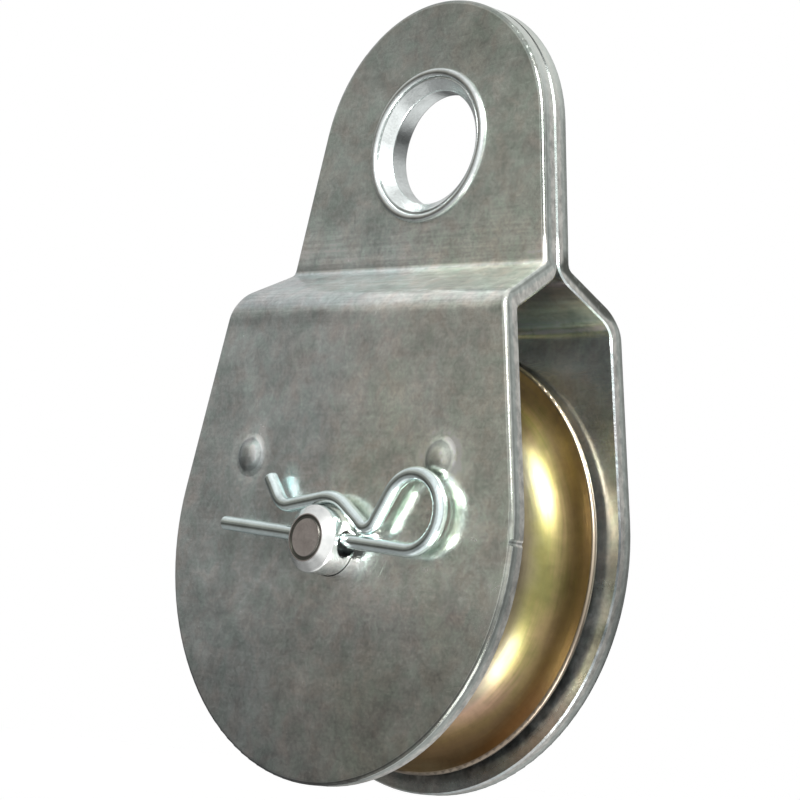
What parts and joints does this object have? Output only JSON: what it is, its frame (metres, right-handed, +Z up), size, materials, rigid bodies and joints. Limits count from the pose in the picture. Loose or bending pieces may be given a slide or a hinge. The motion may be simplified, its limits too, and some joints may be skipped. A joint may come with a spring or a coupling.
{
  "type": "fixed eye pulley",
  "caption": "Sheet-steel pulley block with a rolled eye at the top, a grooved wheel between two joggled cheeks and a pin kept by a hairpin clip.",
  "frame": {"origin": "centre of the eye's bore, midway between the outer faces of the two tongues", "axes": "+Y along the eye's bore to the rear, away from the side with the hairpin clip; +Z up, from the axle towards the eye; +X to the right seen from the clip side"},
  "size_m": [0.0564, 0.0273, 0.095],
  "materials": {
    "zinc_sheet": "zinc-plated steel sheet, mottled grey, semi-gloss",
    "zinc_bright": "bright zinc-plated steel",
    "clip_wire": "bright zinc-plated spring wire",
    "yellow_chromate": "yellow-chromate zinc-plated steel, glossy",
    "bronze": "oil-filled sintered bronze, matt"
  },
  "bodies": {
    "frame": {"front_cheek": "zinc_sheet", "rear_cheek": "zinc_sheet", "eye_bushing": "zinc_bright"},
    "wheel": {"sheave": "yellow_chromate", "sheave_bushing": "bronze"},
    "pin": {"axle_pin": "zinc_bright"},
    "clip": {"hairpin_clip": "clip_wire"}
  },
  "joints": [
    {"name": "sheave_spin", "type": "hinge", "parent": "frame", "child": "wheel", "pos_m": [0, 0, -0.049], "axis": [0, 1, 0], "continuous": true},
    {"name": "pin_turn", "type": "hinge", "parent": "frame", "child": "pin", "pos_m": [0, 0, -0.049], "axis": [0, 1, 0], "continuous": true},
    {"name": "clip_pull", "type": "slide", "parent": "pin", "child": "clip", "axis": [0.9978, 0, -0.0659], "range_m": [0, 0.0235], "deforming": ["hairpin_clip"]}
  ]
}
